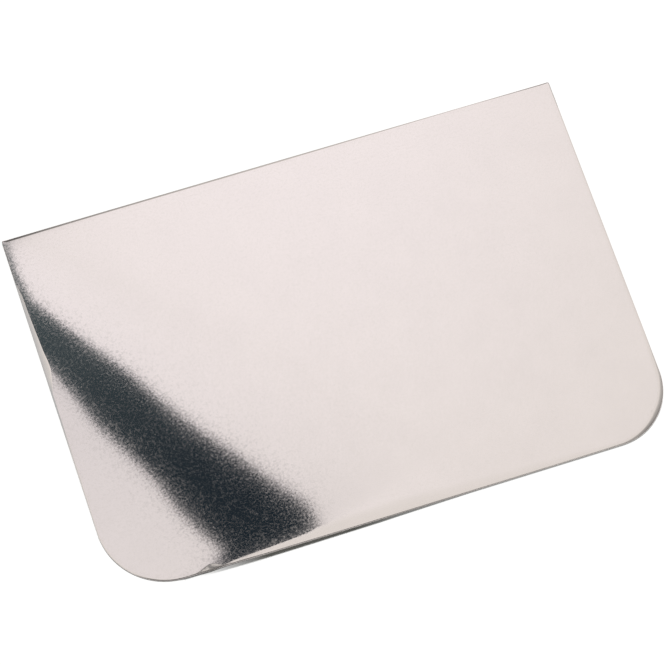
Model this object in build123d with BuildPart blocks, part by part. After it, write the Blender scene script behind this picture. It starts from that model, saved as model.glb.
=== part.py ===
from build123d import *
import os
from math import asin, atan, atan2, cos, degrees, sin, tan

# Icing smoother: one blanked sheet of stainless steel, lying face up on its flat part.
# X runs along the straight working edge, +Y points at that edge and +Z is up.
# The origin is the middle of the outline, on the surface that the sheet lies on.

# Blank, in millimetres: two square corners on the working edge, two round ones below
blade_length = 120.0
blade_width = 80.0
sheet_thickness = 1.0
left_corner_radius = 13.8
right_corner_radius = 12.5
working_corner_ease = 0.4

# Edges: the die rolls the face over at its rim, and tumbling dulls the underside's arris
face_roll = 0.3
underside_ease = 0.15

# Set of the sheet: a soft bend fans out from beyond the upper left corner to the lower
# edge, and the sheet to its left rises clear of the table. The lift is that of the lower
# left corner if it were square, and bend_start and bend_span lie along the lower edge.
corner_lift = 2.2
bend_start = 14.0
bend_span = 66.0
fan_setback = 8.0

# How far the untrimmed sheet runs past the outline, and the trimming prism past the sheet
overrun = 5.0

# Directions of the fan, as angles from the left edge
fan_left = atan2(bend_start, blade_width)
fan_right = atan2(bend_start + bend_span, blade_width)
fan_middle = (fan_left + fan_right) / 2
fan_half = (fan_right - fan_left) / 2

# The fan's middle line runs down from its tip, which lies outside the sheet
up = Vector(0, 0, 1)
middle_line = Vector(sin(fan_middle), -cos(fan_middle), 0)
across = Vector(cos(fan_middle), sin(fan_middle), 0)
upper_left_corner = Vector(-blade_length / 2, blade_width / 2, 0)
fan_tip = upper_left_corner - middle_line * fan_setback
fan_near = fan_setback / 2
fan_far = fan_setback + blade_length + blade_width

# Slope of the raised part, from the lift of the corner over its distance to the middle line
rise_angle = atan(corner_lift / (blade_width * sin(fan_middle)))
raised_normal = across * sin(rise_angle) + up * cos(rise_angle)

# The bend is a slice of a very flat cone. It touches the flat part along the fan's right
# side and the raised part along its left side, so the three faces meet without a crease.
bend_foot = middle_line * cos(fan_half) + across * sin(fan_half)
cone_half_angle = atan2(sin(fan_half), tan(rise_angle / 2))
cone_axis = bend_foot * cos(cone_half_angle) + up * sin(cone_half_angle)
bend_turn = 2 * asin(sin(fan_half) * cos(rise_angle / 2) / sin(cone_half_angle))


def fan_point(distance, angle):
    """Point in a plane through the fan's tip, at an angle from the fan's middle line."""
    return Vector(distance * cos(angle), distance * sin(angle))


def rim_edges(blade, facing):
    """Edges where the walls meet the face, with facing 1, or the underside, with -1."""
    steep = sin(fan_half)
    walls = blade.faces().filter_by(lambda wall: abs(wall.normal_at().Z) < steep)
    sides = blade.faces().filter_by(lambda side: side.normal_at().Z * facing > cos(fan_half))
    return walls.edges() & sides.edges()


# Smoother blade: flat part, bend and raised part, trimmed to the outline, with its rim eased
with BuildPart() as smoother_blade:
    with BuildSketch() as flat_part:
        with BuildLine():
            near_foot = fan_tip + bend_foot * fan_near
            far_foot = fan_tip + bend_foot * fan_far
            lower_right = Vector(blade_length / 2 + overrun, -blade_width / 2 - overrun)
            upper_right = Vector(blade_length / 2 + overrun, blade_width / 2 + overrun)
            Polyline(near_foot, far_foot, lower_right, upper_right, close=True)
        make_face()
    extrude(amount=sheet_thickness)

    with BuildSketch(Plane(fan_tip, bend_foot, bend_foot.cross(up))) as bend_profile:
        with Locations(((fan_near + fan_far) / 2, sheet_thickness / 2)):
            Rectangle(fan_far - fan_near, sheet_thickness)
    revolve(axis=Axis(fan_tip, cone_axis * -1), revolution_arc=degrees(bend_turn))

    with BuildSketch(Plane(fan_tip, middle_line, raised_normal)) as raised_part:
        with BuildLine():
            near_head = fan_point(fan_near, -fan_half)
            far_head = fan_point(fan_far, -fan_half)
            far_left = fan_point(fan_far, -fan_middle)
            near_left = fan_point(fan_near, -fan_middle)
            Polyline(near_head, far_head, far_left, near_left, close=True)
        make_face()
    extrude(amount=sheet_thickness)

    with BuildSketch() as outline:
        Rectangle(blade_length, blade_width)
        fillet(outline.vertices().group_by(Axis.Y)[0].sort_by(Axis.X)[0], left_corner_radius)
        fillet(outline.vertices().group_by(Axis.Y)[0].sort_by(Axis.X)[-1], right_corner_radius)
        fillet(outline.vertices().group_by(Axis.Y)[-1], working_corner_ease)
    trim_height = corner_lift + sheet_thickness + overrun
    extrude(amount=trim_height, both=True, mode=Mode.INTERSECT)

    fillet(rim_edges(smoother_blade, 1), face_roll)
    fillet(rim_edges(smoother_blade, -1), underside_ease)

smoother_blade.part.label = "smoother_blade"

os.makedirs("parts", exist_ok=True)
export_step(smoother_blade.part, "parts/smoother_blade.step")

print("blade", smoother_blade.part.bounding_box(), "volume", smoother_blade.part.volume)
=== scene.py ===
# %% [markdown]
# # Icing smoother in polished steel
# This tool is one sheet of stainless steel, 120 mm long, 80 mm wide and 1 mm thick. A baker holds it
# by its rounded lower side and draws the straight upper edge over icing or dough. The CAD model gives
# its size and its slight set, and this lesson dresses it: a camera, light that polished steel can
# reflect, the sheet with its fine edge profile, and steel finishes made of nodes.

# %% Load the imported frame
from math import atan2, cos, degrees, pi, radians, sin, tan

import bpy
import numpy as np
from mathutils import Matrix, Vector


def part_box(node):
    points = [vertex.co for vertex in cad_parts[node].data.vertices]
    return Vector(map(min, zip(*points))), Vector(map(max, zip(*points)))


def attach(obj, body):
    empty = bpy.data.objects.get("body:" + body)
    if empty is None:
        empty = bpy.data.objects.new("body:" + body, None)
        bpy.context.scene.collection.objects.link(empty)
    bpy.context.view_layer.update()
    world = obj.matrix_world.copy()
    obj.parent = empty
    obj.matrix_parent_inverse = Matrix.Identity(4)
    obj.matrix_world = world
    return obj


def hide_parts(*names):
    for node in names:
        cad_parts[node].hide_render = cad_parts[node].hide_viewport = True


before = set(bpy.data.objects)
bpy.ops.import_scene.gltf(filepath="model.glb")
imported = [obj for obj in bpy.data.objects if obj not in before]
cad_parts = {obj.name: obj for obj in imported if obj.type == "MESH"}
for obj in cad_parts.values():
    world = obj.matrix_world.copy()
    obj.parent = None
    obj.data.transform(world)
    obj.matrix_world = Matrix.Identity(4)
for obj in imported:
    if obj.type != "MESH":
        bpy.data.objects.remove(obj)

MM = 0.001
scene = bpy.context.scene
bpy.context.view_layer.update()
blade_low, blade_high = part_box("smoother_blade")
print("CAD box in mm:", [round(v / MM, 3) for v in (*blade_low, *blade_high)])

# %% [markdown]
# ## Camera
# The sheet was photographed from well above, a little left of its lower side, with a long lens, so
# its sides stay nearly parallel. The camera stands 0.7 m away. A tracking constraint could aim it, but
# its three axes are written out here, because that fixes the tilt and the roll at once.

# %% Camera at the photograph's viewpoint
camera_place = Vector((-109.21, -209.38, 658.11)) * MM
camera_right = Vector((0.946266, -0.318962, 0.053320))
camera_up = Vector((0.284154, 0.898800, 0.333788))
camera_back = camera_right.cross(camera_up)
lens_length = 184.80
sensor_width = 36.0
nearest_seen, farthest_seen = 10 * MM, 20.0

camera_data = bpy.data.cameras.new("studio_camera")
camera_data.lens = lens_length
camera_data.sensor_width = sensor_width
camera_data.clip_start = nearest_seen
camera_data.clip_end = farthest_seen
camera = bpy.data.objects.new("studio_camera", camera_data)
camera.matrix_world = Matrix.Translation(camera_place) @ Matrix(
    (camera_right, camera_up, camera_back)
).transposed().to_4x4()
scene.collection.objects.link(camera)
scene.camera = camera
scene.view_settings.view_transform = "Standard"
print("camera distance in mm:", round(camera_place.length / MM, 1))

# %% [markdown]
# ## Node helpers
# Every light, floor and finish here is a node tree. A tree could be built by hand in the editor, but
# one that is written down can be read and built again. Short helpers keep it readable: one adds a node,
# one feeds a socket with a plain value or with another node's socket, and the others make the nodes
# that come up again and again.

# %% Helpers that add and feed nodes
def add_node(tree, kind, **settings):
    node = tree.nodes.new(kind)
    for name, value in settings.items():
        setattr(node, name, value)
    return node


def feed(tree, value, socket):
    """Join another node's socket to this one, or give it a plain value."""
    if hasattr(value, "is_linked"):
        tree.links.new(value, socket)
    else:
        socket.default_value = value


def set_inputs(tree, node, **values):
    """Feed inputs by name, with an underscore for each space in it."""
    for name, value in values.items():
        feed(tree, value, node.inputs[name.replace("_", " ")])


print("helpers for single nodes ready")

# %% Helpers that work with numbers and vectors
def math_node(tree, operation, *values, clamp=False):
    node = add_node(tree, "ShaderNodeMath", operation=operation, use_clamp=clamp)
    for socket, value in zip(node.inputs, values):
        feed(tree, value, socket)
    return node.outputs[0]


def vector_node(tree, operation, *values, scale=None):
    node = add_node(tree, "ShaderNodeVectorMath", operation=operation)
    for socket, value in zip(node.inputs, values):
        feed(tree, value, socket)
    if scale is not None:
        feed(tree, scale, node.inputs["Scale"])
    return node.outputs["Value" if operation == "DOT_PRODUCT" else "Vector"]


def map_range(tree, value, soft=False, **limits):
    """Stretch one range to another, which is 0 to 1 if not said, and stop at its ends."""
    node = add_node(tree, "ShaderNodeMapRange", interpolation_type="SMOOTHSTEP" if soft else "LINEAR")
    set_inputs(tree, node, Value=value, **limits)
    return node.outputs["Result"]


def noise(tree, vector, scale, detail=0.0, output="Fac"):
    """Value or colour of a 3-D noise texture."""
    texture = add_node(tree, "ShaderNodeTexNoise", noise_dimensions="3D")
    set_inputs(tree, texture, Vector=vector, Scale=scale, Detail=detail)
    return texture.outputs[output]


print("helpers for numbers and vectors ready")

# %% Helpers for whole materials and groups
def object_place(tree):
    return add_node(tree, "ShaderNodeTexCoord").outputs["Object"]


def attribute(tree, name, output="Fac"):
    return add_node(tree, "ShaderNodeAttribute", attribute_name=name).outputs[output]


def mix_shaders(tree, share, first, second):
    """The first shader where the share is 0 and the second where it is 1."""
    mixed = add_node(tree, "ShaderNodeMixShader")
    for socket, source in zip(mixed.inputs, (share, first, second)):
        feed(tree, source, socket)
    return mixed.outputs[0]


def empty_material(name):
    material = bpy.data.materials.new(name)
    material.use_nodes = True
    material.node_tree.nodes.clear()
    return material, material.node_tree


def put_out(tree, shader, kind="ShaderNodeOutputMaterial"):
    feed(tree, shader, add_node(tree, kind).inputs["Surface"])


def new_group(name, kind, inputs, outputs):
    """A group with named sockets, its inputs as seen from inside, and the node that takes its outputs."""
    group = bpy.data.node_groups.new(name, kind)
    for direction, sockets in (("INPUT", inputs), ("OUTPUT", outputs)):
        for label, socket_kind in sockets:
            group.interface.new_socket(label, in_out=direction, socket_type="NodeSocket" + socket_kind)
    return group, add_node(group, "NodeGroupInput").outputs, add_node(group, "NodeGroupOutput")


print("helpers for materials and groups ready")

# %% [markdown]
# ## Studio light
# Polished steel has hardly any colour of its own: it shows what stands round it. The real sheet lay in
# a white tent. Area lamps could light it, but each would show in the face as a shape with an edge. So
# the world is a pale dome that is brightest overhead, behind the upper edge, and falls off softly from
# there. One dome lights the sheet evenly and leaves no lamp mirrored in the face.

# %% Pale dome round the sheet
dome_colour = (0.799, 0.802, 0.762)
crown_colour = (0.215, 0.209, 0.258)
crown_direction = Vector((0.1528, 0.3769, 0.9136)).normalized()
crown_sharpness = 120.0
horizon_share = 0.72
horizon_softness = 0.60

world = bpy.data.worlds.new("pale_dome")
world.use_nodes = True
scene.world = world
tree = world.node_tree
tree.nodes.clear()
where = add_node(tree, "ShaderNodeTexCoord").outputs["Generated"]
toward_crown = vector_node(tree, "DOT_PRODUCT", where, tuple(crown_direction))
crown = math_node(tree, "POWER", math_node(tree, "MAXIMUM", toward_crown, 0.0), crown_sharpness)
height = add_node(tree, "ShaderNodeSeparateXYZ")
feed(tree, where, height.inputs[0])
rise = map_range(tree, height.outputs["Z"], soft=True, From_Max=horizon_softness, To_Min=horizon_share)
dome = vector_node(tree, "SCALE", dome_colour, scale=rise)
bright = vector_node(tree, "SCALE", crown_colour, scale=crown)
background = add_node(tree, "ShaderNodeBackground")
feed(tree, vector_node(tree, "ADD", dome, bright), background.inputs["Color"])
put_out(tree, background.outputs[0], "ShaderNodeOutputWorld")
print("dome, crown and horizon share:", dome_colour, crown_colour, horizon_share)

# %% [markdown]
# ## Floor
# The sheet lies on a white table. A white diffuse floor under this dome would come out light grey. A
# brighter world would whiten it and spoil the steel, so the floor glows instead, for rays that the
# camera sends straight at it or by way of the steel, and its diffuse share keeps the soft shadow.
#
# The glow goes out in the narrow gap under the sheet. An ambient occlusion node tells how open each
# point of the floor is within about two millimetres, and the glow stops where that openness falls
# below a limit. The limit is higher under the raised lower side, and a colour ramp says for each place
# along the sheet how much glow stays in the shadow and where a darker core begins.
#
# From below the floor is see-through, and so it is for mirror rays that land under the sheet. The
# underside can then be looked at, and shows steel, not the dark of the gap.

# %% Sizes and tones of the floor
floor_half = 4.0
floor_gap = 0.02 * MM
floor_colour = (0.17, 0.17, 0.165, 1.0)
floor_glow = 0.93
open_reach = 2.2 * MM
open_samples = 64
open_dark, open_clear = 0.56, 0.59
# Where the raised side and the lower side begin and are in full, and how much the limit rises there
raised_from, raised_to, raised_deeper = 14 * MM, -5 * MM, 0.135
lower_from, lower_to = -30 * MM, -37 * MM
# The ramp's start and run along the sheet in millimetres, and its rows: a place, the share of the glow
# that stays in the shadow there, and the openness below which that share goes out too
shadow_start, shadow_run = -60.0, 120.0
shadow_glow = (
    (-59.9, 1.0, 0.0), (-59.5, 1.0, 0.60), (-48.0, 1.0, 0.60), (-46.0, 1.0, 0.65), (-43.0, 1.0, 0.61),
    (-41.0, 0.8, 0.60), (-39.8, 0.62, 0.575), (-38.8, 0.53, 0.53), (-37.5, 0.42, 0.50),
    (-36.0, 0.34, 0.38), (-33.0, 0.17, 0.0), (-29.0, 0.0, 0.0), (-10.0, 0.0, 0.0), (0.0, 0.13, 0.0),
    (20.0, 0.28, 0.0))
core_edge = 0.01
# Openness below which a mirror ray has landed under the sheet
buried = 0.5
print("places in the table of the gap's shadow:", len(shadow_glow))

# %% Floor mesh, its paint and how open it is
floor_mesh = bpy.data.meshes.new("floor")
floor_mesh.from_pydata(
    [(x * floor_half, y * floor_half, -floor_gap) for x, y in ((-1, -1), (1, -1), (1, 1), (-1, 1))],
    [], [(0, 1, 2, 3)])
floor = bpy.data.objects.new("floor", floor_mesh)
scene.collection.objects.link(floor)
floor_paint, tree = empty_material("white_table")
paint = add_node(tree, "ShaderNodeBsdfDiffuse")
paint.inputs["Color"].default_value = floor_colour
glow = add_node(tree, "ShaderNodeEmission")
rays = add_node(tree, "ShaderNodeLightPath").outputs
seen = math_node(tree, "MAXIMUM", rays["Is Camera Ray"], rays["Is Glossy Ray"])
seen = math_node(tree, "MAXIMUM", seen, rays["Is Transmission Ray"])
open_sky = add_node(tree, "ShaderNodeAmbientOcclusion", samples=open_samples)
open_sky.inputs["Distance"].default_value = open_reach
openness = open_sky.outputs["AO"]
spot = add_node(tree, "ShaderNodeSeparateXYZ")
feed(tree, object_place(tree), spot.inputs[0])
print("floor of", 2 * floor_half, "m")

# %% Glow that goes out in the gap
raised = map_range(tree, spot.outputs["X"], From_Min=raised_from, From_Max=raised_to)
lower = map_range(tree, spot.outputs["Y"], From_Min=lower_from, From_Max=lower_to)
deeper = math_node(tree, "MULTIPLY", raised, lower)
deeper = math_node(tree, "MULTIPLY", deeper, raised_deeper)
way = math_node(tree, "SUBTRACT", spot.outputs["X"], shadow_start * MM)
way = math_node(tree, "DIVIDE", way, shadow_run * MM)
fade = add_node(tree, "ShaderNodeValToRGB")
feed(tree, way, fade.inputs[0])
stops = fade.color_ramp.elements
for number, (place, share, core) in enumerate(shadow_glow):
    position = (place - shadow_start) / shadow_run
    stop = stops[number] if number < len(stops) else stops.new(position)
    stop.position, stop.color = position, (share, core, 0.0, 1.0)
pair = add_node(tree, "ShaderNodeSeparateColor")
feed(tree, fade.outputs["Color"], pair.inputs["Color"])
past_core = math_node(tree, "SUBTRACT", openness, pair.outputs["Green"])
past_core = map_range(tree, past_core, From_Min=-core_edge, From_Max=core_edge)
glow_left = math_node(tree, "MULTIPLY", pair.outputs["Red"], floor_glow)
glow_here = map_range(tree, math_node(tree, "SUBTRACT", openness, deeper),
                      From_Min=open_dark, From_Max=open_clear, To_Min=glow_left, To_Max=floor_glow)
glow_here = math_node(tree, "MULTIPLY", glow_here, past_core)
feed(tree, math_node(tree, "MULTIPLY", seen, glow_here), glow.inputs["Strength"])
print("stops in the ramp:", len(stops))

# %% Floor that is see-through from below and for rays that land under the sheet
both = add_node(tree, "ShaderNodeAddShader")
feed(tree, paint.outputs[0], both.inputs[0])
feed(tree, glow.outputs[0], both.inputs[1])
see_through = add_node(tree, "ShaderNodeBsdfTransparent")
hidden = math_node(tree, "LESS_THAN", openness, buried)
hidden = math_node(tree, "MULTIPLY", hidden, rays["Is Glossy Ray"])
from_below = add_node(tree, "ShaderNodeNewGeometry").outputs["Backfacing"]
away = math_node(tree, "MAXIMUM", from_below, hidden)
put_out(tree, mix_shaders(tree, away, both.outputs[0], see_through.outputs[0]))
floor_mesh.materials.append(floor_paint)
print("nodes in the floor's paint:", len(tree.nodes))

# %% [markdown]
# ## Outline of the blank
# The blank is cut by a die: a long straight working edge above with two square corners, and two round
# corners below, of which the left is slightly larger. A bevelled rectangle would give the same shape,
# but its points would lie where the bevel puts them. Here the outline is sampled once, as four sides
# that meet in the middle of the corners. Every later step works from these points and from the
# direction that points inwards at each of them.

# %% Sizes of the blank
blade_length = 120.0
blade_width = 80.0
sheet_thickness = 1.0
square_corner = 0.4
left_corner = 13.8
right_corner = 12.5

# Number of segments along each stretch of the outline
small_arc, large_arc = 4, 16
bottom_straight, side_straight = 168, 110
top_straight = bottom_straight + 2 * (large_arc - small_arc)
print("blank:", blade_length, "x", blade_width, "x", sheet_thickness, "mm")


# %% Points and inward directions round the outline
def arc(centre, radius, first, last, segments):
    """Rows of x, y and the inward direction, along an arc between two angles in degrees."""
    angles = np.radians(np.linspace(first, last, segments + 1))
    out = np.column_stack([np.cos(angles), np.sin(angles)])
    return np.hstack([np.array(centre) + radius * out, -out])


def side(head, tail, segments):
    """Half an arc, a straight run and half an arc, with the shared points kept once."""
    run = np.linspace(head[-1], tail[0], segments + 1)
    return np.vstack([head, run[1:-1], tail])


x_end, y_end = blade_length / 2, blade_width / 2
low_left = (-x_end + left_corner, -y_end + left_corner)
low_right = (x_end - right_corner, -y_end + right_corner)
high_left = (-x_end + square_corner, y_end - square_corner)
high_right = (x_end - square_corner, y_end - square_corner)
bottom_side = side(arc(low_left, left_corner, 225, 270, large_arc),
                   arc(low_right, right_corner, 270, 315, large_arc), bottom_straight)
right_side = side(arc(low_right, right_corner, -45, 0, large_arc),
                  arc(high_right, square_corner, 0, 45, small_arc), side_straight)
top_side = side(arc(high_right, square_corner, 45, 90, small_arc),
                arc(high_left, square_corner, 90, 135, small_arc), top_straight)
left_side = side(arc(high_left, square_corner, 135, 180, small_arc),
                 arc(low_left, left_corner, 180, 225, large_arc), side_straight)
outline = np.vstack([bottom_side[:-1], right_side[:-1], top_side[:-1], left_side[:-1]])
edge, inward = outline[:, :2], outline[:, 2:]
inward = inward / np.linalg.norm(inward, axis=1)[:, None]
ring_count = len(edge)
strides = np.linalg.norm(np.roll(edge, -1, axis=0) - edge, axis=1)
travel = np.concatenate([[0.0], np.cumsum(strides)[:-1]])
print("points round the outline:", ring_count, "length in mm:", round(strides.sum(), 2))

# %% [markdown]
# ## Places along the outline
# The rim is not the same all the way round. To say where it changes, each place is a distance along
# the outline, counted from the middle of the lower left corner, along the lower side, up the right
# side, back along the working edge and down the left side. A table of places and values then gives a
# value at every point, which a list of vertex numbers would do too, until the outline is sampled anew.

# %% Named places
quarter = pi / 4
lower_start = left_corner * quarter
lower_end = lower_start + blade_length - left_corner - right_corner
right_middle = lower_end + right_corner * quarter
right_start = right_middle + right_corner * quarter
right_end = right_start + blade_width - right_corner - square_corner
top_start = right_end + 2 * square_corner * quarter
top_end = top_start + blade_length - 2 * square_corner
left_start = top_end + 2 * square_corner * quarter
left_end = left_start + blade_width - left_corner - square_corner
whole_way = left_end + left_corner * quarter
# Two more places on the lower left corner's arc, after its middle and before it
past_middle = 4.0
before_middle = left_end + 7.0
print("outline runs", round(whole_way, 2), "mm")
print("working edge from", round(top_start, 1), "to", round(top_end, 1))


# %% Places by their coordinate, and a table reader
def on_lower(x):
    return lower_start + x + x_end - left_corner


def on_right(y):
    return right_start + y + y_end - right_corner


def on_top(x):
    return top_start + x_end - square_corner - x


def on_left(y):
    return left_start + y_end - square_corner - y


def along_outline(*table):
    """Value at every outline point, from pairs of place and value."""
    places, values = zip(*table)
    return np.interp(travel, places, values, period=whole_way)


print("middle of the lower side lies at", round(on_lower(0), 1), "mm")

# %% [markdown]
# ## Edge profile
# A die draws the face down at the rim before it cuts, so the face ends in a small round roll. Along the
# lower side the drawing starts further in, as a land a few degrees off level, which eases in from the
# face and shows as a bright strip. Near the foot of the bend the roll widens for a few millimetres, the
# left side carries a narrow facet, and the working edge has been dressed to a slope that is widest at
# its ends.
#
# Each of these could be a bevel of its own, but bevels meet in seams. Tables along the outline blend
# them. The roll is a superellipse: a power of 2 makes it round, a lower power makes it a facet. The
# land has a width, a slope and an easing. The last table is not a size but painted shade and sheen:
# how much darker or lighter the torn wall is painted at each place, standing in for the shadow and
# the reflections that fall on it.

# %% Width, depth and power of the roll
roll_width = along_outline(
    (0, 0.22), (past_middle, 0.28), (lower_start, 0.16), (on_lower(-45), 0.14), (on_lower(-43.5), 0.25),
    (on_lower(-42.5), 0.60), (on_lower(-41.5), 1.00), (on_lower(-40.5), 1.30), (on_lower(-39.5), 1.00),
    (on_lower(-38.6), 0.50), (on_lower(-37.5), 0.20), (on_lower(-33), 0.20), (on_lower(-29), 0.14),
    (on_lower(8), 0.14), (on_lower(36), 0.09), (lower_end, 0.20), (right_middle, 1.20),
    (right_start, 0.80), (on_right(-18), 0.30), (right_end, 0.22), (on_top(58), 0.30),
    (on_top(40), 0.20), (on_top(0), 0.42), (on_top(-40), 0.46), (on_top(-59), 0.60),
    (left_start, 0.08), (on_left(30), 0.10), (on_left(27), 0.55), (on_left(23), 0.65),
    (on_left(18), 0.92), (on_left(14), 1.15), (on_left(12), 1.40), (on_left(10), 1.45),
    (on_left(8), 1.05), (on_left(5), 0.30), (left_end, 0.26), (before_middle, 0.31))
roll_depth = along_outline(
    (0, 0.18), (past_middle, 0.24), (lower_start, 0.18), (on_lower(-44), 0.18), (on_lower(-42), 0.28),
    (on_lower(-40.5), 0.38), (on_lower(-38.6), 0.30), (on_lower(-37.5), 0.20), (on_lower(-33), 0.20),
    (on_lower(-29), 0.15), (on_lower(8), 0.13), (on_lower(36), 0.09), (lower_end, 0.14),
    (right_middle, 0.50), (right_start, 0.34), (on_right(-18), 0.18), (right_end, 0.14),
    (on_top(58), 0.20), (on_top(40), 0.14), (on_top(0), 0.19), (on_top(-40), 0.24),
    (on_top(-59), 0.34), (left_start, 0.08), (on_left(30), 0.06), (on_left(27), 0.20),
    (on_left(18), 0.34), (on_left(14), 0.38), (on_left(12), 0.46), (on_left(10), 0.46),
    (on_left(8), 0.32), (on_left(5), 0.18), (left_end, 0.18))
roll_power = along_outline(
    (0, 1.6), (lower_start, 1.3), (on_lower(-44), 1.9), (on_lower(-38), 1.7), (on_lower(-35), 1.3),
    (lower_end, 1.3), (right_middle, 1.7), (right_start, 1.7), (right_end, 1.5), (top_start, 1.2),
    (top_end, 1.15), (left_start, 1.4), (on_left(28), 1.1), (on_left(8), 1.1), (left_end, 1.8))
print("roll from", round(roll_width.min(), 2), "to", round(roll_width.max(), 2), "mm wide")

# %% Width, slope and easing of the land
land_width = along_outline(
    (0, 0.05), (on_lower(-39), 0.05), (on_lower(-36), 0.45), (on_lower(-30), 0.85), (on_lower(-24), 1.15),
    (on_lower(-20), 1.50), (on_lower(-17), 2.10), (on_lower(-12), 2.80), (on_lower(0), 3.00),
    (on_lower(30), 1.60), (on_lower(45), 0.70), (right_middle, 0.30), (right_start, 0.50),
    (on_right(10), 0.60), (on_right(34), 0.50), (right_end, 0.05), (left_end, 0.05))
land_slope = along_outline(
    (0, 0.0), (on_lower(-44), 0.0), (on_lower(-38), 0.05), (on_lower(-24), 0.09), (on_lower(-15), 0.085),
    (on_lower(0), 0.07), (on_lower(20), 0.05), (on_lower(45), 0.04), (right_middle, 0.05),
    (right_start, 0.04), (right_end, 0.0))
land_easing = along_outline(
    (0, 0.2), (on_lower(-38), 0.2), (on_lower(-24), 0.4), (on_lower(-17), 1.0), (on_lower(-10), 2.2),
    (on_lower(5), 2.6), (on_lower(30), 1.4), (lower_end, 0.4), (left_end, 0.2))
print("land up to", round(land_width.max(), 2), "mm wide")

# %% Painted shade and sheen of the torn wall
# Values below 1 paint shade on the wall and values above 1 paint sheen, place by place along the outline
wall_shade_and_sheen = along_outline(
    (0, 0.7), (past_middle, 0.7), (lower_start, 0.45), (on_lower(-44), 0.28), (on_lower(-38), 0.28),
    (on_lower(-36), 0.45), (on_lower(-33), 0.75), (on_lower(-29), 0.95), (on_lower(-24), 1.05),
    (on_lower(0), 1.0), (on_lower(20), 1.3), (lower_end, 1.6), (right_middle, 1.2), (right_end, 1.2),
    (top_end, 1.0), (left_end, 0.7))
print("tone from", round(wall_shade_and_sheen.min(), 2), "to", round(wall_shade_and_sheen.max(), 2))

# %% [markdown]
# ## Rings
# The rim is a stack of rings. Each ring is the outline moved inwards by some amount at every point and
# set at some height, sampled in the same places, so that neighbouring rings join into clean quads. A
# bevel modifier would make the same strips, but with one width all the way round. The stack starts
# with a small ease under the sheet, goes up the wall, whose lower half the die tore and left a hair
# further in, and then over the roll and across the land. A number says which finish the band below
# each ring takes: torn metal as far as the first steps of the roll, and from there on the face's.

# %% Sizes of the rim and of its bands
FACE, WALL, UNDERSIDE = 0, 1, 2
underside_ease = 0.15
torn_low, torn_high, torn_depth, torn_lip = 0.30, 0.50, 0.02, 0.02
ease_steps = 4
roll_steps = 12
wall_roll_steps = 2
land_steps = 6
level_ring = np.ones(ring_count)


def land_drop(inside):
    """How far the land has fallen at a distance from the outline, with an eased start."""
    run = roll_width + land_width - inside
    eased = np.minimum(land_easing, land_width)
    return land_slope * np.where(run < eased, run ** 2 / (2 * eased), run - eased / 2)


print("land drops by up to", round(land_drop(roll_width).max(), 3), "mm")

# %% Stack of rings from the underside to the face
rings = []
for step in range(ease_steps + 1):
    turn = pi / 2 * step / ease_steps
    rings.append((underside_ease * (1 - sin(turn)) * level_ring,
                  underside_ease * (1 - cos(turn)) * level_ring, WALL))
for height in (torn_low, torn_high - torn_lip):
    rings.append((torn_depth * level_ring, height * level_ring, WALL))
rings.append((0 * level_ring, torn_high * level_ring, WALL))
for step in range(roll_steps + 1):
    turn = pi / 2 * (1 - step / roll_steps)
    inside = roll_width * (1 - sin(turn) ** (2 / roll_power))
    drop = roll_depth * (1 - cos(turn) ** (2 / roll_power)) + land_drop(inside)
    rings.append((inside, sheet_thickness - drop, WALL if step < wall_roll_steps else FACE))
for step in range(1, land_steps + 1):
    inside = roll_width + land_width * step / land_steps
    rings.append((inside, sheet_thickness - land_drop(inside), FACE))


def ring_points(inside, height):
    return np.column_stack([edge + inward * np.reshape(inside, (-1, 1)), height * level_ring])


print("rings:", len(rings))

# %% [markdown]
# ## Face and underside
# A ring stack alone would leave a hole in the middle. One large face would close it, but could not
# bend. The face is filled with a grid that runs from side to side, where each grid point is blended
# from the four sides around it. Such a grid keeps its quads even, and that matters here: a mirror
# shows every uneven normal.

# %% Grid that fills the inside of a ring
def fill(rim):
    """Grid of points inside a ring, with its first index along the sheet and its second up it."""
    columns, rows = len(bottom_side), len(right_side)
    corner_right, corner_top = columns - 1, columns + rows - 2
    corner_left = corner_top + columns - 1
    closed = np.vstack([rim, rim[:1]])
    bottom = closed[:columns]
    right = closed[corner_right:corner_top + 1]
    top = closed[corner_top:corner_left + 1][::-1]
    left = closed[corner_left:][::-1]
    u = np.linspace(0, 1, columns)[:, None, None]
    v = np.linspace(0, 1, rows)[None, :, None]
    sides = (1 - v) * bottom[:, None] + v * top[:, None] + (1 - u) * left[None] + u * right[None]
    corners = ((1 - u) * (1 - v) * bottom[0] + u * (1 - v) * bottom[-1]
               + (1 - u) * v * top[0] + u * v * top[-1])
    return sides - corners


def grid_index(grid, first):
    columns, rows = grid.shape[:2]
    return first + np.arange(columns * rows).reshape(columns, rows)


def grid_border(index):
    return np.concatenate([index[:-1, 0], index[-1, :-1], index[::-1, -1][:-1], index[0, ::-1][:-1]])


def grid_quads(index):
    corners = (index[:-1, :-1], index[1:, :-1], index[1:, 1:], index[:-1, 1:])
    return np.stack(corners, -1).reshape(-1, 4)


print("grid of", len(bottom_side), "by", len(right_side), "points")

# %% [markdown]
# ## Blank
# Now the rings and the two grids become one closed mesh. Separate pieces for the face, the wall and
# the back would be easier to paint, but a real sheet is one, and one closed mesh has no seam to hide.
# The underside's quads are turned round, so that every face points outwards. Each point also keeps two
# values for the finishes: its distance from the outline, for the wear along the rim, and the painted
# shade and sheen of the torn wall.

# %% Join rings and grids
points, quads, finish = [], [], []
for inside, height, band in rings:
    points.append(ring_points(inside, height))
lower_ring = np.arange(ring_count)
for level, (inside, height, band) in enumerate(rings[1:]):
    here = lower_ring + level * ring_count
    following = np.roll(here, -1)
    quads.append(np.stack([here, following, following + ring_count, here + ring_count], -1))
    finish.append(np.full(ring_count, band))

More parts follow.
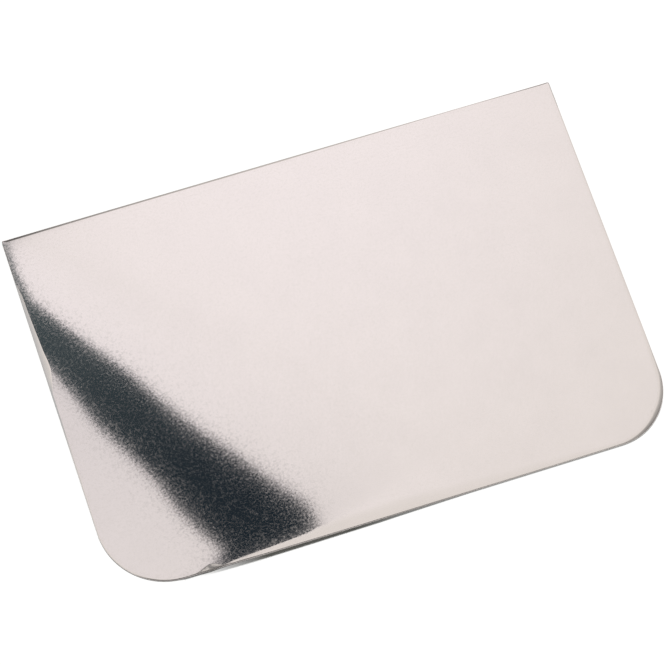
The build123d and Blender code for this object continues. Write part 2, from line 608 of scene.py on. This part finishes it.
# How far inside the last ring a grid's own rim lies, in millimetres
grid_inset = 0.06
used = len(rings) * ring_count
for level, height, band, flip in ((0, 0.0, UNDERSIDE, True),
                                  (len(rings) - 1, sheet_thickness, FACE, False)):
    grid = fill(ring_points(rings[level][0] + grid_inset, height))
    index = grid_index(grid, used)
    outer, border = lower_ring + level * ring_count, grid_border(index)
    bridge = np.stack([outer, np.roll(outer, -1), np.roll(border, -1), border], -1)
    for part in (bridge, grid_quads(index)):
        quads.append(part[:, ::-1] if flip else part)
        finish.append(np.full(len(part), band))
    points.append(grid.reshape(-1, 3))
    used += index.size
points, quads, finish = np.vstack(points), np.vstack(quads), np.concatenate(finish)
print("blank:", len(points), "points,", 2 * len(quads), "triangles")


# %% Blank mesh with its finish numbers and point values
def outline_distance(x, y):
    """Distance of points from the outline, inside it, with the round lower corners."""
    radius = np.where(y > 0, square_corner, np.where(x < 0, left_corner, right_corner))
    past_x, past_y = abs(x) - (x_end - radius), abs(y) - (y_end - radius)
    outside = np.hypot(np.maximum(past_x, 0), np.maximum(past_y, 0))
    return radius - outside - np.minimum(np.maximum(past_x, past_y), 0)


def keep_values(mesh, name, values):
    """Keep one number at every point of a mesh, for a material to read."""
    kept = mesh.attributes.new(name, "FLOAT", "POINT")
    kept.data.foreach_set("value", values.astype(np.float32))


inset = np.maximum(outline_distance(points[:, 0], points[:, 1]), 0)
ring_wall_shades = np.tile(wall_shade_and_sheen, len(rings))
grid_wall_shades = np.ones(len(points) - len(ring_wall_shades))
blank_mesh = bpy.data.meshes.new("smoother_sheet")
blank_mesh.from_pydata((points * MM).tolist(), [], quads.tolist())
blank_mesh.attributes.new("finish", "INT", "FACE").data.foreach_set("value", finish.astype(np.int32))
keep_values(blank_mesh, "inset_mm", inset)
keep_values(blank_mesh, "wall_shade_and_sheen", np.concatenate([ring_wall_shades, grid_wall_shades]))
blank_mesh.polygons.foreach_set("use_smooth", np.ones(len(quads), bool))
blank_mesh.update()
sheet = bpy.data.objects.new("smoother_sheet", blank_mesh)
scene.collection.objects.link(sheet)
print("farthest point from the outline in mm:", round(inset.max(), 2))

# %% [markdown]
# ## Cards that the steel mirrors
# Photographers shape polished metal with cards held out of view. A narrow strip of black card hangs low
# over the bend: it starts close to the upper left corner and climbs as it runs past the lower side, so
# its mirror image is crisp at the top and soft below. Thin veils beside it soften its two sides, and a
# small card past its foot darkens the toe of the streak. A low ribbon stands round parts of the
# outline and draws the thin dark lines in the rim. It is tallest near the foot of the bend, thins out
# above a shoulder half way up, and is pale along the left side.
#
# The streak could be painted on the face, but paint stays put where a mirror image moves with the
# viewer. Each point of a card keeps a tone and a cover, which is how much of the view behind it is
# hidden. Only mirror rays see the cards.

# %% Rows of the strip, the veils and the toe card
# Each row runs from head to foot, in millimetres
strip_right = [(-56.5, 48.3, 22.4), (-55.3, 42.6, 24.7), (-53.5, 36.7, 27.2), (-49.9, 31.8, 29.4),
               (-46.0, 26.9, 31.7), (-41.9, 22.1, 34.0), (-37.7, 17.4, 36.3), (-34.0, 12.2, 38.7),
               (-30.1, 7.1, 41.0), (-25.9, 2.2, 43.4), (-21.4, -2.5, 45.7), (-17.2, -7.4, 48.0),
               (-12.9, -12.3, 50.3), (-8.3, -17.0, 52.6), (-6.9, -23.0, 54.7)]
strip_left = [(-58.4, 48.4, 23.0), (-58.1, 42.4, 25.0), (-57.6, 36.6, 27.3), (-56.6, 30.8, 29.6),
              (-54.4, 25.3, 31.8), (-51.5, 20.1, 33.9), (-48.8, 14.9, 36.1), (-46.4, 9.5, 38.3),
              (-43.2, 4.5, 40.4), (-39.9, -0.5, 42.5), (-37.0, -5.7, 44.7), (-34.6, -11.2, 46.9),
              (-31.4, -16.3, 49.0), (-27.7, -21.5, 51.2), (-34.5, -27.1, 53.4)]
veil_left = [(-62.7, 50.3, 24.4), (-61.9, 43.8, 25.3), (-61.1, 37.8, 27.2), (-60.1, 31.9, 29.4),
             (-59.5, 26.0, 31.6), (-59.2, 20.1, 34.0), (-58.8, 14.2, 36.3), (-58.4, 8.3, 38.6),
             (-58.1, 2.4, 40.8), (-57.9, -3.5, 43.1), (-57.6, -9.4, 45.4), (-57.0, -15.3, 47.6),
             (-55.7, -21.1, 49.8), (-52.7, -26.1, 51.6), (-47.8, -30.0, 53.2)]
veil_right = [(-40.7, 57.3, 28.5), (-39.1, 50.1, 28.6), (-36.5, 43.7, 29.9), (-31.5, 39.3, 32.1),
              (-26.6, 34.6, 34.4), (-21.7, 29.9, 36.7), (-16.6, 25.4, 39.1), (-12.2, 20.2, 41.5),
              (-7.5, 15.2, 43.9), (-2.6, 10.4, 46.3), (2.7, 6.0, 48.7), (7.7, 1.1, 51.2),
              (12.8, -3.6, 53.6), (18.4, -8.0, 56.0), (21.8, -13.9, 58.2)]
toe_inner = [(-40.6, -27.1, 50.0), (-36.0, -27.1, 50.0), (-32.7, -27.2, 50.0), (-31.0, -27.2, 50.0),
             (-27.3, -27.3, 50.0)]
toe_outer = [(-40.1, -62.9, 50.0), (-36.5, -63.0, 50.0), (-33.1, -63.2, 50.0), (-30.1, -63.3, 50.0),
             (-26.7, -63.5, 50.0)]
print("strip card with", len(strip_left), "stations, toe card with", len(toe_inner))

# %% Paint of the cards and a helper that hangs one
card_paint, tree = empty_material("black_card")
dull = add_node(tree, "ShaderNodeEmission")
feed(tree, attribute(tree, "tone", "Color"), dull.inputs["Color"])
view_behind = add_node(tree, "ShaderNodeBsdfTransparent")
put_out(tree, mix_shaders(tree, attribute(tree, "cover"), view_behind.outputs[0], dull.outputs[0]))


def card(name, first, second, first_cover, second_cover, tones):
    """Strip of quads between two rows of points, in millimetres, that only mirror rays see."""
    count = len(first)
    mesh = bpy.data.meshes.new(name)
    mesh.from_pydata([Vector(p) * MM for p in (*first, *second)], [],
                     [(i, i + 1, count + i + 1, count + i) for i in range(count - 1)])
    row = np.ones(count)
    keep_values(mesh, "cover", np.concatenate([first_cover * row, second_cover * row]))
    tone = mesh.attributes.new("tone", "FLOAT_VECTOR", "POINT")
    tone.data.foreach_set("vector", np.tile(tones, (2, 1)).ravel())
    board = bpy.data.objects.new(name, mesh)
    scene.collection.objects.link(board)
    for ray in ("camera", "diffuse", "transmission", "shadow", "volume_scatter"):
        setattr(board, "visible_" + ray, False)
    mesh.materials.append(card_paint)


print("nodes in the cards' paint:", len(tree.nodes))

# %% Hang the strip, the veils and the toe card
# Card tone at the strip's head and at its foot, and the heights between which it changes
head_tone = np.array((0.074, 0.107, 0.115))
foot_tone = np.array((0.009, 0.018, 0.026))
head_height, foot_height = 22.0, 52.0
left_veil_cover = np.linspace(0.30, 0.10, len(strip_left))
right_veil_cover = np.linspace(0.05, 0.11, len(strip_right))
toe_cover = np.array([0.2, 0.6, 1.0, 1.0, 1.0])
toe_share = np.array([0.0, 0.0, 0.1, 0.85, 0.4])
heights = np.array(strip_left)[:, 2:]
nearness = np.clip((foot_height - heights) / (foot_height - head_height), 0, 1) ** 2
strip_tones = foot_tone + (head_tone - foot_tone) * nearness
toe_tones = np.tile(foot_tone, (len(toe_inner), 1))
card("bend_card", strip_left, strip_right, 1.0, 1.0, strip_tones)
card("left_veil", veil_left, strip_left, left_veil_cover, left_veil_cover, strip_tones)
card("right_veil", strip_right, veil_right, right_veil_cover, 0.0, strip_tones)
card("toe_card", toe_inner, toe_outer, toe_share * toe_cover, toe_cover, toe_tones)
print("tones from", round(strip_tones.min(), 3), "to", round(strip_tones.max(), 3))

# %% Tables of the ribbon
ribbon_gap = 12.0
ribbon_foot = 0.3
# Height of the shoulder as a share of the ribbon's, and the share of its cover that is left there
ribbon_shoulder, shoulder_share = 0.5, 0.65
ribbon_tone = np.array((0.034, 0.036, 0.036))
pale_tone = np.array((0.43, 0.48, 0.49))
ribbon_height = along_outline(
    (0, 8.0), (past_middle, 30.0), (lower_start, 36.0), (on_lower(-42), 60.0), (on_lower(-38), 60.0),
    (on_lower(-34), 36.0), (on_lower(-5), 34.0), (on_lower(25), 20.0), (lower_end, 20.0),
    (right_middle, 46.0), (right_start, 26.0), (on_right(-21), 10.0), (on_right(-14), 0.0),
    (on_right(38), 0.0), (top_start, 18.0), (on_top(45), 10.0), (on_top(0), 20.0), (top_end, 40.0),
    (left_start, 40.0), (on_left(0), 40.0), (left_end, 20.0))
ribbon_cover = along_outline(
    (0, 0.6), (past_middle, 1.0), (lower_start, 1.0), (on_lower(25), 0.9), (lower_end, 0.6),
    (right_middle, 0.8), (right_start, 0.55), (on_right(-21), 0.3), (top_start, 0.8),
    (on_top(50), 0.4), (on_top(40), 0.2), (on_top(0), 0.3), (on_top(-20), 0.35), (on_top(-45), 0.6),
    (top_end, 1.0), (on_left(5), 1.0), (on_left(-5), 0.4), (left_end, 0.4))
ribbon_pale = along_outline(
    (0, 0.0), (on_left(39), 0.0), (on_left(35), 1.0), (left_end, 1.0), (left_end + past_middle, 0.0))
print("ribbon up to", ribbon_height.max(), "mm high")

# %% Stand the ribbon round the outline
stand = edge - inward * ribbon_gap
runs, run = [], []
for (x, y), top, share, pale in zip(stand, ribbon_height, ribbon_cover, ribbon_pale):
    if top > ribbon_foot:
        run.append(((x, y, ribbon_foot), (x, y, top * ribbon_shoulder), (x, y, top), share, pale))
    elif run:
        runs.append(run)
        run = []
if run:
    runs.append(run)
for number, run in enumerate(runs, 1):
    foot, shoulder, crest, shares, pales = zip(*run)
    shares = np.array(shares)
    tones = ribbon_tone + (pale_tone - ribbon_tone) * np.reshape(pales, (-1, 1))
    card(f"ribbon_{number}_lower", foot, shoulder, shares, shares * shoulder_share, tones)
    card(f"ribbon_{number}_upper", shoulder, crest, shares * shoulder_share, 0.0, tones)
print("ribbon cards:", 2 * len(runs))

# %% [markdown]
# ## Set of the sheet
# Use has given the sheet a slight set: a soft bend fans out from beyond the upper left corner, and the
# lower left corner rises about two millimetres. A lattice could bend it too, but steel doesn't stretch,
# and a rule keeps the shape one that a flat sheet can take. Seen from the fan's tip, every point has a
# distance along the middle line and a slope to one side of it. Right of the fan nothing moves, inside
# it the lift grows with the square of the slope, and left of it in a straight line. Geometry nodes
# apply that rule to every point, with the sizes as named inputs, so the set can be tried out.

# %% Place and slope of the fan
bend_start, bend_span, fan_setback, corner_lift = 14.0, 66.0, 8.0, 2.2
fan_left = atan2(bend_start, blade_width)
fan_right = atan2(bend_start + bend_span, blade_width)
fan_middle, fan_half = (fan_left + fan_right) / 2, (fan_right - fan_left) / 2
middle_line = Vector((sin(fan_middle), -cos(fan_middle), 0))
across_line = Vector((cos(fan_middle), sin(fan_middle), 0))
fan_tip = Vector((-blade_length / 2, blade_width / 2, 0)) - middle_line * fan_setback
rise_slope = corner_lift / (blade_width * sin(fan_middle))
print("fan from", round(degrees(fan_left), 1), "to", round(degrees(fan_right), 1), "degrees")

# %% Node tree that lifts the points
set_tree, given, end = new_group(
    "set_of_the_sheet", "GeometryNodeTree",
    [("Geometry", "Geometry"), ("Fan Tip", "Vector"), ("Middle Line", "Vector"),
     ("Across Line", "Vector"), ("Half Slope", "Float"), ("Rise Slope", "Float"),
     ("Face Finish", "Material"), ("Wall Finish", "Material"), ("Underside Finish", "Material")],
    [("Geometry", "Geometry")])
place = add_node(set_tree, "GeometryNodeInputPosition").outputs[0]
from_tip = vector_node(set_tree, "SUBTRACT", place, given["Fan Tip"])
along = vector_node(set_tree, "DOT_PRODUCT", from_tip, given["Middle Line"])
aside = vector_node(set_tree, "DOT_PRODUCT", from_tip, given["Across Line"])
slope = math_node(set_tree, "DIVIDE", aside, along)
whole_slope = math_node(set_tree, "MULTIPLY", given["Half Slope"], 2.0)
short_of = math_node(set_tree, "SUBTRACT", given["Half Slope"], slope)
share_in = math_node(set_tree, "DIVIDE", short_of, whole_slope)
share_in = math_node(set_tree, "MINIMUM", math_node(set_tree, "MAXIMUM", share_in, 0.0), 1.0)
in_bend = math_node(set_tree, "POWER", share_in, 2.0)
in_bend = math_node(set_tree, "MULTIPLY", in_bend, given["Half Slope"])
past = math_node(set_tree, "SUBTRACT", short_of, whole_slope)
past = math_node(set_tree, "MAXIMUM", past, 0.0)
lift = math_node(set_tree, "MULTIPLY", math_node(set_tree, "ADD", in_bend, past), along)
lift = math_node(set_tree, "MULTIPLY", lift, given["Rise Slope"])
upward = add_node(set_tree, "ShaderNodeCombineXYZ")
set_inputs(set_tree, upward, Z=lift)
move = add_node(set_tree, "GeometryNodeSetPosition")
set_inputs(set_tree, move, Geometry=given["Geometry"], Offset=upward.outputs[0])
shape = add_node(set_tree, "GeometryNodeRealizeInstances")
feed(set_tree, move.outputs[0], shape.inputs[0])
shape = shape.outputs[0]
print("nodes that lift the points:", len(set_tree.nodes))

# %% Nodes that give each band its finish
# A compare node keeps its two whole-number sockets in these places
first_whole, second_whole = 2, 3
kind = add_node(set_tree, "GeometryNodeInputNamedAttribute", data_type="INT")
kind.inputs["Name"].default_value = "finish"
for number, label in ((FACE, "Face Finish"), (WALL, "Wall Finish"), (UNDERSIDE, "Underside Finish")):
    same = add_node(set_tree, "FunctionNodeCompare", data_type="INT", operation="EQUAL")
    feed(set_tree, kind.outputs["Attribute"], same.inputs[first_whole])
    feed(set_tree, number, same.inputs[second_whole])
    paint_on = add_node(set_tree, "GeometryNodeSetMaterial")
    set_inputs(set_tree, paint_on, Geometry=shape, Selection=same.outputs[0], Material=given[label])
    shape = paint_on.outputs[0]
feed(set_tree, shape, end.inputs[0])
print("finishes that the tree sets:", number + 1)

# %% [markdown]
# ## Steel
# Cold-rolled stainless steel is a pale, slightly warm mirror with a fine grain. Under even light the
# grain can't be seen, but it breaks the edge of every reflection into specks. A bump map could give
# that grain, but its strength depends on how many pixels the picture has. So the group leans each
# grain's normal by a little noise, which stays the same at any size. It also gives a soft cloud, a few
# hairline marks along the rolling direction and scattered pits, all from Object coordinates. The face,
# the wall and the underside each use it with their own values.

# %% Group that makes the rolled grain
grain_detail, cloud_detail = 1.0, 3.0
middle_noise = (0.5, 0.5, 0.5)
hairline_size = (60.0, 4200.0, 60.0)
hairline_from, hairline_full = 0.72, 0.80
pit_coarser, pit_shift, pit_softness = 0.7, (0.5, 0.5, 0.5), 0.36

grain_group, given, end = new_group(
    "rolled_grain", "ShaderNodeTree",
    [("Grain per Metre", "Float"), ("Stretch", "Float"), ("Turn", "Float"), ("Cloud per Metre", "Float"),
     ("Pit Share", "Float"), ("Lean", "Float")],
    [("Normal", "Vector"), ("Cloud", "Float"), ("Hairlines", "Float"), ("Pits", "Float")])
place = object_place(grain_group)
turned = add_node(grain_group, "ShaderNodeVectorRotate", rotation_type="Z_AXIS")
set_inputs(grain_group, turned, Vector=place, Angle=given["Turn"])
squeeze = add_node(grain_group, "ShaderNodeCombineXYZ")
set_inputs(grain_group, squeeze, X=given["Stretch"], Y=1.0, Z=1.0)
stretched = vector_node(grain_group, "MULTIPLY", turned.outputs[0], squeeze.outputs[0])
print("sockets of the grain group:", len(grain_group.interface.items_tree))

# %% Leaning grains, cloud, hairlines and pits
grains = noise(grain_group, stretched, given["Grain per Metre"], grain_detail, output="Color")
leaning = vector_node(grain_group, "SUBTRACT", grains, middle_noise)
leaning = vector_node(grain_group, "SCALE", leaning, scale=given["Lean"])
upright = add_node(grain_group, "ShaderNodeNewGeometry").outputs["Normal"]
leaning = vector_node(grain_group, "NORMALIZE", vector_node(grain_group, "ADD", upright, leaning))
cloud = noise(grain_group, place, given["Cloud per Metre"], cloud_detail)
fine_lines = vector_node(grain_group, "MULTIPLY", turned.outputs[0], hairline_size)
hairlines = map_range(grain_group, noise(grain_group, fine_lines, 1.0), soft=True,
                      From_Min=hairline_from, From_Max=hairline_full)
pit_scale = math_node(grain_group, "MULTIPLY", given["Grain per Metre"], pit_coarser)
pits = noise(grain_group, vector_node(grain_group, "ADD", place, pit_shift), pit_scale)
pit_full = math_node(grain_group, "ADD", given["Pit Share"], pit_softness)
pits = map_range(grain_group, pits, soft=True, From_Min=given["Pit Share"], From_Max=pit_full)
set_inputs(grain_group, end, Normal=leaning, Cloud=cloud, Hairlines=hairlines, Pits=pits)
print("nodes in the grain group:", len(grain_group.nodes))

# %% [markdown]
# ## Rubbed rim
# Hands and bench tops rub the rim first. The wear could be painted by hand. A second group works it out
# instead: it turns each point's distance from the outline into a mask that is strongest at the rim and
# broken up by noise, so the wear doesn't look ruled.

# %% Group that makes the rubbed rim
broken_detail, broken_from, broken_full = 2.0, 0.35, 0.65

rub_group, given, end = new_group(
    "rubbed_rim", "ShaderNodeTree", [("Reach in mm", "Float"), ("Breakup per Metre", "Float")],
    [("Rub", "Float")])
near = math_node(rub_group, "DIVIDE", attribute(rub_group, "inset_mm"), given["Reach in mm"])
near = math_node(rub_group, "SUBTRACT", 1.0, near, clamp=True)
broken = noise(rub_group, object_place(rub_group), given["Breakup per Metre"], broken_detail)
broken = map_range(rub_group, broken, soft=True, From_Min=broken_from, From_Max=broken_full)
set_inputs(rub_group, end, Rub=math_node(rub_group, "MULTIPLY", near, broken))
print("nodes in the rim group:", len(rub_group.nodes))

# %% [markdown]
# ## Three finishes of one steel
# The face is smooth and pale, and the underside has a little more grain and wear. Both are plain metal.
# The wall was torn by the die. Its broken surface mirrors next to nothing, so it is a matte finish of
# a darker colour, and the point values of the sheet paint shade and sheen on it along the outline,
# standing in for the shadow and reflections it would show. Three materials could be built one by one,
# but a single function keeps them related: what changes is the roughness, the lean of the grain and a
# slight shift of colour with the cloud.

# %% Function that builds a finish
pit_roughness, hairline_roughness, rub_roughness = 0.059, 0.02, 0.06
rub_reach, rub_breakup = 1.5, 400.0
# A colour mix node keeps its colour sockets and its colour result in these places
colour_low, colour_high, colour_result = 6, 7, 2


def steel(name, colour, roughness, grain, stretch, turn, lean, cloud, tint_swing, rough_swing, pit_share,
          metallic=1.0, shine=0.5, shade=None):
    """Steel with leaning grains, roughness from cloud, pits, hairlines and rubbing, and a colour that the
    cloud shifts and, where given, a point value paints with shade and sheen.
    """
    material, tree = empty_material(name)
    rolled = add_node(tree, "ShaderNodeGroup", node_tree=grain_group)
    set_inputs(tree, rolled, Grain_per_Metre=grain, Stretch=stretch, Turn=turn, Cloud_per_Metre=cloud,
               Pit_Share=pit_share, Lean=lean)
    rubbed = add_node(tree, "ShaderNodeGroup", node_tree=rub_group)
    set_inputs(tree, rubbed, Reach_in_mm=rub_reach, Breakup_per_Metre=rub_breakup)
    tint = add_node(tree, "ShaderNodeMix", data_type="RGBA")
    for socket, swing in ((colour_low, -tint_swing), (colour_high, tint_swing)):
        tint.inputs[socket].default_value = (*(min(1, part * (1 + swing)) for part in colour), 1)
    feed(tree, rolled.outputs["Cloud"], tint.inputs[0])
    total = map_range(tree, rolled.outputs["Cloud"], To_Min=roughness * (1 - rough_swing),
                      To_Max=roughness * (1 + rough_swing))
    for source, amount in ((rolled.outputs["Pits"], pit_roughness), (rubbed.outputs["Rub"], rub_roughness),
                           (rolled.outputs["Hairlines"], hairline_roughness)):
        total = math_node(tree, "ADD", total, math_node(tree, "MULTIPLY", source, amount))
    metal = add_node(tree, "ShaderNodeBsdfPrincipled")
    metal.inputs["Metallic"].default_value = metallic
    metal.inputs["Specular IOR Level"].default_value = shine
    paint = tint.outputs[colour_result]
    # Where given, a point value scales the colour: painted shade where it is below 1, painted sheen above
    if shade:
        paint = vector_node(tree, "SCALE", paint, scale=attribute(tree, shade))
    set_inputs(tree, metal, Base_Color=paint, Roughness=total, Normal=rolled.outputs["Normal"])
    put_out(tree, metal.outputs[0])
    return material


print("roughness added by pits, hairlines and rubbing:", pit_roughness, hairline_roughness, rub_roughness)

# %% Build the three finishes
bright_steel = (0.890, 0.808, 0.796)
cut_steel = (0.55, 0.51, 0.50)
rolling_turn = radians(-28)
face_finish = steel(
    "bright_face", bright_steel, roughness=0.105, grain=3000.0, stretch=0.85, turn=rolling_turn,
    lean=0.038, cloud=130.0, tint_swing=0.03, rough_swing=0.15, pit_share=0.42)
# The torn wall takes painted shade and sheen from a point value along the outline
wall_finish = steel(
    "cut_wall", cut_steel, roughness=0.34, grain=3600.0, stretch=1.0, turn=0.0, lean=0.15, cloud=160.0,
    tint_swing=0.05, rough_swing=0.2, pit_share=0.70, metallic=0.0, shine=0.1, shade="wall_shade_and_sheen")
under_finish = steel(
    "mill_underside", bright_steel, roughness=0.17, grain=3000.0, stretch=0.8, turn=rolling_turn,
    lean=0.12, cloud=60.0, tint_swing=0.03, rough_swing=0.3, pit_share=0.6)
print("finishes:", face_finish.name, wall_finish.name, under_finish.name)

# %% [markdown]
# ## Finished sheet
# The modifier could stay on the sheet, but an export keeps only plain meshes. So the node tree is run
# once and its result kept. The named values go in by each socket's identifier, because that is what a
# modifier stores. The face's finish is given to the blank first, or its first slot would stay empty.

# %% Apply the set and finish the sheet
blank_mesh.materials.append(face_finish)
setting = sheet.modifiers.new("set_of_the_sheet", "NODES")
setting.node_group = set_tree
values = {"Fan Tip": fan_tip * MM, "Middle Line": middle_line, "Across Line": across_line,
          "Half Slope": tan(fan_half), "Rise Slope": rise_slope, "Face Finish": face_finish,
          "Wall Finish": wall_finish, "Underside Finish": under_finish}
for item in set_tree.interface.items_tree:
    if item.in_out == "INPUT" and item.name in values:
        setting[item.identifier] = values[item.name]
bpy.context.view_layer.update()
finished = bpy.data.meshes.new_from_object(sheet.evaluated_get(bpy.context.evaluated_depsgraph_get()))
sheet.modifiers.clear()
sheet.data = finished
print("finished sheet:", len(finished.vertices), "points, finishes", [m.name for m in finished.materials])

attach(sheet, "root")
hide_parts("smoother_blade")
